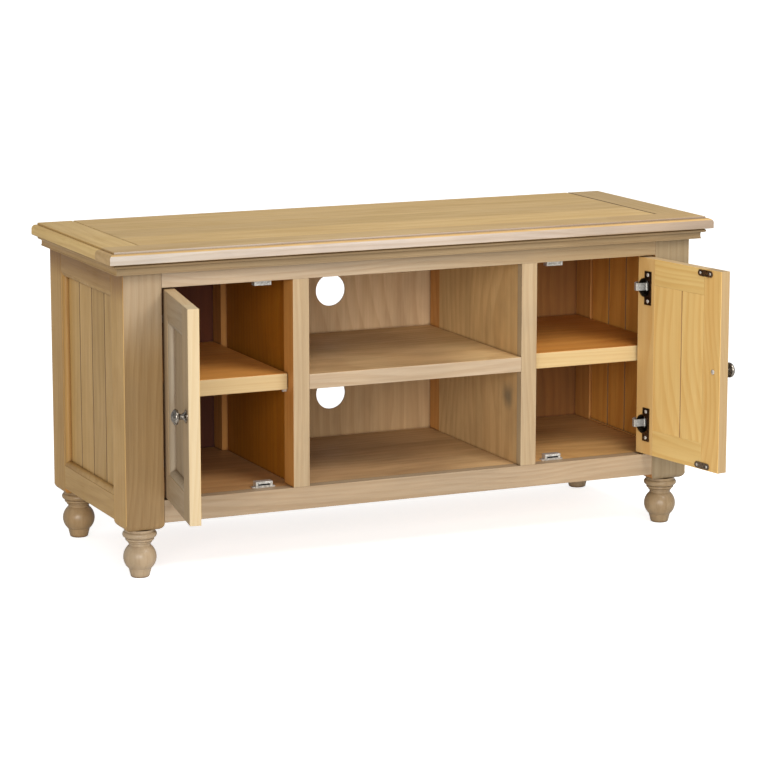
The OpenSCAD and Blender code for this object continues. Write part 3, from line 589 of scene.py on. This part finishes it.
# Painted light on the middle bay's shelf and deck, growing towards the right
PAINTED_LIGHT_RIGHT_OF_MIDDLE = ("x", 0.05, 0.19, (1.26, 1.32, 1.30))
PAINTED_LIGHT_AND_SMUDGE = {
    # Darker towards the right end; the top's front rail is also lighter towards the left end
    ("front_top_rail", "washed"): dict(fades=[("x", -0.45, 0.60, (0.72, 0.66, 0.50))]),
    ("top_front_rail", "washed"): dict(fades=[
        ("x", 0.00, 0.60, (0.74, 0.68, 0.60)), ("x", -0.25, -0.50, (1.12, 1.18, 1.22))]),
    ("top_front_rail", "golden"): dict(fades=[("z", 0.6045, 0.6020, (0.93, 0.89, 0.86))]),
    # Painted shadow of the open left door on the left post's front, growing downward
    ("front_left_post", "washed"): dict(fades=[("z", 0.52, 0.38, (0.84, 0.72, 0.50))]),
    ("front_left_post", "golden"): dict(fades=PAINTED_SHADOW_UNDER_TOP),
    ("back_left_post", "golden"): dict(fades=PAINTED_SHADOW_UNDER_TOP),
    ("left_side_rails", "golden"): dict(fades=PAINTED_SHADOW_UNDER_TOP),
    # Darker towards the back
    ("left_side_moulding", "golden"): dict(fades=[("y", 0.10, 0.26, (0.78, 0.70, 0.56))]),
    # Painted shade low on the partition; the spot is a grey smudge on the stain where hands reach in
    ("right_partition", "inner"): dict(
        fades=[("z", 0.36, 0.33, (0.88, 0.87, 0.90))],
        spots=[((0.217, -0.037, 0.272), 0.036, (0.48, 0.55, 0.68))]),
    # Painted shade towards the right bay's far corner
    ("right_shelf", "bay"): dict(fades=[("x", 0.37, 0.50, (0.72, 0.60, 0.45))]),
    ("middle_shelf", "inner"): dict(fades=[PAINTED_LIGHT_RIGHT_OF_MIDDLE]),
    # Painted light in the right bay and painted shade in its far corner, deep painted shade in the left
    # bay, and painted shade low in the middle bay
    ("back_panel", "inner"): dict(fades=[
        ("x", 0.235, 0.245, (1.40, 1.30, 0.80)), ("x", 0.36, 0.48, (0.40, 0.26, 0.18)),
        ("x", -0.235, -0.245, (0.19, 0.06, 0.02)), ("z", 0.36, 0.33, (0.78, 0.74, 0.66))]),
    # Painted shade in both side bays and painted light to the right of the middle bay
    ("bottom_deck", "inner"): dict(fades=[
        ("x", -0.235, -0.245, (0.98, 0.86, 0.70)), PAINTED_LIGHT_RIGHT_OF_MIDDLE,
        ("x", 0.235, 0.245, (0.98, 0.88, 0.68))]),
}


def make_case_boards():
    made = []
    for node, (radius, slot, looks, along, seed) in CASE_BOARDS.items():
        board = eased_board(node, radius)
        paint(board, node, along, seed, looks)
        made.append(board)
    return made


case_boards = make_case_boards()
print("eased boards:", len(case_boards))

# %% [markdown]
# Boards whose edges the CAD already shaped, and panels whose edges are hidden, keep their
# own mesh and only take finishes. Their grooves get a dark seam finish, as dust and stain
# gather there.

# %% Shaped boards and panels
TOP_FRONT = looks_of("washed", "golden", "golden", "golden", "golden")
TOP_BOARD = looks_of("golden", "golden", "golden", "golden", "golden", slanted="seam")
CROWN = looks_of("washed", "washed", "washed", "washed", "washed")
FOOT = looks_of("turned", "turned", "turned", "turned", "turned")
GOLD = looks_of("golden", "golden", "golden", "golden", "golden")
PARTITION = looks_of("inner", "inner", "bay", "inner", "inner")
PLANKS = looks_of("golden", "golden", "golden", "bay", "golden", slanted="seam")
PANEL = looks_of("inner", "golden", "inner", "inner", "inner")
plank_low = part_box("left_side_planks")[0].y
SHAPED = {
    "top_field": (TOP_BOARD, "x", 21, dict(boards=("y", -0.31, 0.092))),
    "top_front_rail": (TOP_FRONT, "x", 22, {}),
    "top_left_end": (TOP_BOARD, "y", 23, {}),
    "top_right_end": (TOP_BOARD, "y", 24, {}),
    "crown_front": (CROWN, "x", 25, {}),
    "crown_left": (GOLD, "y", 26, {}),
    "crown_right": (GOLD, "y", 27, {}),
    "left_side_moulding": (GOLD, "z", 28, {}),
    "right_side_moulding": (GOLD, "z", 29, {}),
    "left_partition": (PARTITION, "z", 30, {}),
    "right_partition": (PARTITION, "z", 31, {}),
    "bottom_deck": (CROWN | dict(level="inner"), "x", 32, {}),
    "back_panel": (PANEL, "z", 33, {}),
    "front_left_foot": (FOOT, "z", 34, {}),
    "front_right_foot": (FOOT, "z", 35, {}),
    "back_left_foot": (FOOT, "z", 36, {}),
    "back_right_foot": (FOOT, "z", 37, {}),
    "left_side_planks": (PLANKS, "z", 38, dict(boards=("y", plank_low, 0.07))),
    "right_side_planks": (PLANKS, "z", 39, dict(boards=("y", plank_low, 0.07))),
}
for node, (looks, along, seed, extra) in SHAPED.items():
    paint(nodes[node], node, along, seed, looks, **extra)
print("shaped boards:", len(SHAPED))

# %% [markdown]
# A door is two finishes on the same boards: the front is stained like the case, and the inner face and
# the edges are lacquered pine. Each door's stiles and rails are copied with eased arrises, while its
# planks and moulding keep their own mesh, and every face that looks toward the door's front is given the
# stain.

# %% Doors
OPEN_ANGLE = {"left": math.radians(100.0), "right": math.radians(99.5)}
DOOR_SEED = {"left": 50, "right": 60}
DOOR_PARTS = {"hinge_stile": "z", "free_stile": "z", "rails": "x", "planks": "z"}


def front_way(side):
    """The way the door's front looks, as it stands open."""
    sign = -1 if side == "left" else 1
    return Matrix.Rotation(sign * OPEN_ANGLE[side], 4, "Z") @ Vector((0, -1, 0))


def paint_door_board(board, node, along, seed, turned, front):
    tints = TINTS.get(node, {})
    names = ("pine", "washed", "seam", "edge")
    dress(board, *[wood(f"{node}_{n}", n, along, seed, turned, tint=tints.get(n)) for n in names])
    for face in board.data.polygons:
        toward = face.normal.dot(front)
        if toward > 0.8:
            face.material_index = names.index("washed")
        elif toward > -0.3:
            face.material_index = names.index("edge")
        elif toward > -0.9 and node.endswith("planks"):
            face.material_index = names.index("seam")


def make_door(side):
    front = front_way(side)
    turned = (1 if side == "left" else -1) * OPEN_ANGLE[side]
    for count, (part, along) in enumerate(DOOR_PARTS.items()):
        node = f"{side}_door_{part}"
        board = nodes[node] if part == "planks" else eased_board(node, 0.0007)
        paint_door_board(board, node, along, DOOR_SEED[side] + count, turned, front)
    node = f"{side}_door_moulding"
    tint = TINTS.get(node, {}).get("washed")
    dress(nodes[node], wood(node + "_washed", "washed", "z", DOOR_SEED[side] + 5, turned, tint=tint))


for side in ("left", "right"):
    make_door(side)
print("doors dressed")

# %% [markdown]
# The fittings are small but bright against the wood. Zinc plate is a soft satin with faint scratches,
# the hinge cups are darker, and the knobs are a worn cast metal, mottled dull and bright.

# %% Metal finish group and metals


def make_metal_wear():
    tree, given, result = group_of(
        "metal wear",
        [("Scale", "Float", 400.0), ("Scratch", "Float", 0.1)],
        [("Wear", "Float"), ("Relief", "Float")],
    )
    here = place(tree, "TexCoord").outputs["Object"]
    patches = place(tree, "TexNoise", {"Vector": here, "Scale": given["Scale"], "Detail": 3.0})
    tree.links.new(ramp_of(tree, patches.outputs["Fac"], 0.35, 0.7), result["Wear"])
    lines = vector_of(tree, "MULTIPLY", here, (2400.0, 2400.0, 150.0))
    scratch = place(tree, "TexNoise", {"Vector": lines, "Scale": 1.0, "Detail": 1.0})
    relief = math_of(tree, "MULTIPLY", scratch.outputs["Fac"], given["Scratch"])
    tree.links.new(relief, result["Relief"])
    return tree


metal_wear = make_metal_wear()


def metal(name, dull, bright, rough, spread, scale, share=1.0):
    material = bpy.data.materials.new(name)
    material.use_nodes = True
    tree = material.node_tree
    shader = tree.nodes["Principled BSDF"]
    wear = place(tree, "Group", {"Scale": scale, "Scratch": 0.5}, node_tree=metal_wear)
    tree.links.new(mix_of(tree, wear.outputs["Wear"], dull, bright), shader.inputs["Base Color"])
    rough_now = math_of(tree, "MULTIPLY_ADD", wear.outputs["Wear"], -spread, rough)
    tree.links.new(rough_now, shader.inputs["Roughness"])
    bump = place(tree, "Bump", {"Height": wear.outputs["Relief"], "Strength": 0.1, "Distance": 0.0002})
    tree.links.new(bump.outputs[0], shader.inputs["Normal"])
    shader.inputs["Metallic"].default_value = share
    return material


zinc = metal("zinc_plate", rgb(176, 174, 168), rgb(226, 224, 218), 0.40, 0.12, 320.0, 0.6)
bronze = metal("dark_bronze", rgb(70, 60, 50), rgb(120, 106, 90), 0.42, 0.12, 260.0)
pewter = metal("worn_pewter", rgb(104, 98, 90), rgb(176, 168, 158), 0.34, 0.14, 300.0)
magnet = metal("dark_magnet", rgb(40, 40, 42), rgb(78, 78, 80), 0.60, 0.10, 500.0)

METALS = {
    "catch_housings": zinc, "catch_magnets": magnet, "foot_bolts": zinc, "shelf_pins": zinc,
    "hinge_pins": zinc, "hinge_arm_screws": zinc, "left_hinge_arms": zinc, "right_hinge_arms": zinc,
}
for side in ("left", "right"):
    METALS[f"{side}_door_hinge_cups"] = bronze
    METALS[f"{side}_door_strikes"] = pewter
    METALS[f"{side}_door_screws"] = zinc
    METALS[f"{side}_door_knob"] = pewter
for node, material in METALS.items():
    dress(nodes[node], material)
# One kind of magnet takes two finishes by height, zinc above the middle shelf and dark below it: painted
# light on the upper catches' ends and painted shade in the lower ones' slit
magnets = nodes["catch_magnets"].data
magnets.materials.append(zinc)
for face in magnets.polygons:
    face.material_index = 1 if face.center.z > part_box("middle_shelf")[1].z else 0
print("metal fittings:", len(METALS))

# %% [markdown]
# The stage is a plain pale floor in an even white room. A soft key lamp hangs in front of the
# cabinet, and a broad light comes from the front left, low enough to reach into the bays.
# Seen by the camera the floor also glows a little, so it stays white as photographers' paper.

# %% Floor, room and lights


def make_floor(reach, glow):
    mesh = bpy.data.meshes.new("floor")
    corners = [(-reach, -reach, 0), (reach, -reach, 0), (reach, reach, 0), (-reach, reach, 0)]
    mesh.from_pydata(corners, [], [(0, 1, 2, 3)])
    floor = bpy.data.objects.new("floor", mesh)
    bpy.context.scene.collection.objects.link(floor)
    material = bpy.data.materials.new("floor_paper")
    material.use_nodes = True
    tree = material.node_tree
    shader = tree.nodes["Principled BSDF"]
    shader.inputs["Base Color"].default_value = (0.90, 0.90, 0.90, 1)
    shader.inputs["Roughness"].default_value = 0.9
    shader.inputs["Specular IOR Level"].default_value = 0.0
    path = place(tree, "LightPath")
    seen = mix_of(tree, path.outputs["Is Camera Ray"], (0, 0, 0, 1), (glow, glow, glow, 1))
    tree.links.new(seen, shader.inputs["Emission Color"])
    shader.inputs["Emission Strength"].default_value = 1.0
    mesh.materials.append(material)


def make_room(strength):
    world = bpy.data.worlds.new("room")
    world.use_nodes = True
    tree = world.node_tree
    path = place(tree, "LightPath")
    levels = {0: path.outputs["Is Camera Ray"], 2: strength, 3: 1.0}
    level = place(tree, "Mix", levels, data_type="FLOAT")
    background = tree.nodes["Background"]
    background.inputs["Color"].default_value = (1.0, 1.0, 1.0, 1)
    tree.links.new(level.outputs[0], background.inputs["Strength"])
    bpy.context.scene.world = world


def aim_light(data, name, at, aim, colour):
    data.color = colour
    lamp = bpy.data.objects.new(name, data)
    bpy.context.scene.collection.objects.link(lamp)
    lamp.location = at
    lamp.rotation_euler = (Vector(aim) - Vector(at)).to_track_quat("-Z", "Y").to_euler()


def make_key(at, aim, size, watts):
    data = bpy.data.lights.new("key", "AREA")
    data.shape = "SQUARE"
    data.size = size
    data.energy = watts
    aim_light(data, "key", at, aim, (1.0, 0.98, 0.95))


def make_front(comes_from, strength, spread):
    data = bpy.data.lights.new("front", "SUN")
    data.energy = strength
    data.angle = math.radians(spread)
    aim_light(data, "front", Vector(comes_from) * 4, (0, 0, 0), (1.0, 0.98, 0.95))


FLOOR_REACH = 40.0
FLOOR_GLOW = 0.70
ROOM_LIGHT = 0.42
KEY_SIZE = 0.9
KEY_WATTS = 34.0
FRONT_STRENGTH = 3.0
FRONT_SPREAD = 40.0
make_floor(FLOOR_REACH, FLOOR_GLOW)
make_room(ROOM_LIGHT)
make_key((0.45, -1.45, 1.90), (0.0, -0.1, 0.35), KEY_SIZE, KEY_WATTS)
make_front((-0.42, -0.89, 0.13), FRONT_STRENGTH, FRONT_SPREAD)
bpy.context.scene.view_settings.view_transform = "Standard"
print("lights: 2")

# %% End
print("scene built")
